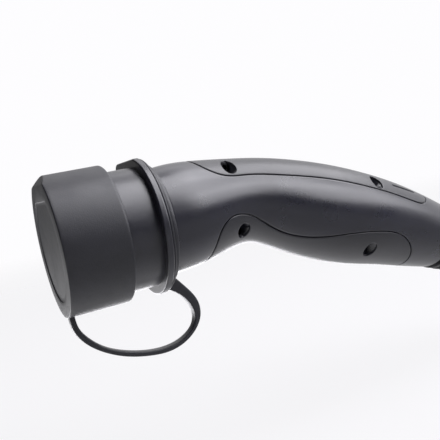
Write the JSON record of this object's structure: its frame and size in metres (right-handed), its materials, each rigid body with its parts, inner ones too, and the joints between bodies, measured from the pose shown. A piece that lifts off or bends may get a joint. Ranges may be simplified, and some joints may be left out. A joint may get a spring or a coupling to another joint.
{
  "type": "ev charging connector",
  "caption": "Black charging connector for an electric car: round nose under a rubber dust cap on a tether loop, curved two-shell handle with inlaid grips, ribbed strain relief.",
  "frame": {"origin": "centre of the nose's tip, the face that meets the car's inlet", "axes": "+X along the nose from its tip towards the handle, +Z to the connector's top, +Y to its right side"},
  "size_m": [0.2665, 0.0644, 0.1105],
  "materials": {
    "nose_plastic": "satin",
    "shell_plastic": "satin",
    "carrier_plastic": "matte",
    "board_laminate": "satin",
    "seal_rubber": "matte",
    "cap_rubber": "matte",
    "grip_rubber": "matte",
    "boot_rubber": "matte",
    "contact_silver": "satin",
    "screw_steel": "satin",
    "screw_black": "satin"
  },
  "bodies": {
    "connector": {"nose_housing": "nose_plastic", "contact_carrier": "carrier_plastic", "contact_retainer": "carrier_plastic", "carrier_gasket": "seal_rubber", "carrier_screws": "screw_steel", "coding_board": "board_laminate", "tether_ring": "cap_rubber", "tether_strap": "cap_rubber", "shell_left": "shell_plastic", "shell_right": "shell_plastic", "grip_top_left": "grip_rubber", "grip_top_right": "grip_rubber", "grip_bottom_left": "grip_rubber", "grip_bottom_right": "grip_rubber", "shell_screws": "screw_black", "cable_clamp": "carrier_plastic", "clamp_screws": "screw_steel", "strain_relief": "boot_rubber", "contact_earth": "contact_silver", "contact_neutral": "contact_silver", "contact_line_1": "contact_silver", "contact_line_2": "contact_silver", "contact_line_3": "contact_silver", "contact_proximity": "contact_silver", "contact_pilot": "contact_silver", "sleeve_earth": "carrier_plastic", "sleeve_neutral": "carrier_plastic", "sleeve_line_1": "carrier_plastic", "sleeve_line_2": "carrier_plastic", "sleeve_line_3": "carrier_plastic", "sleeve_proximity": "carrier_plastic", "sleeve_pilot": "carrier_plastic"},
    "cap": {"dust_cap": "cap_rubber"}
  },
  "joints": [
    {"name": "cap_pull", "type": "slide", "parent": "connector", "child": "cap", "axis": [-1, 0, 0], "range_m": [0, 0.028], "deforming": ["tether_strap"]}
  ]
}
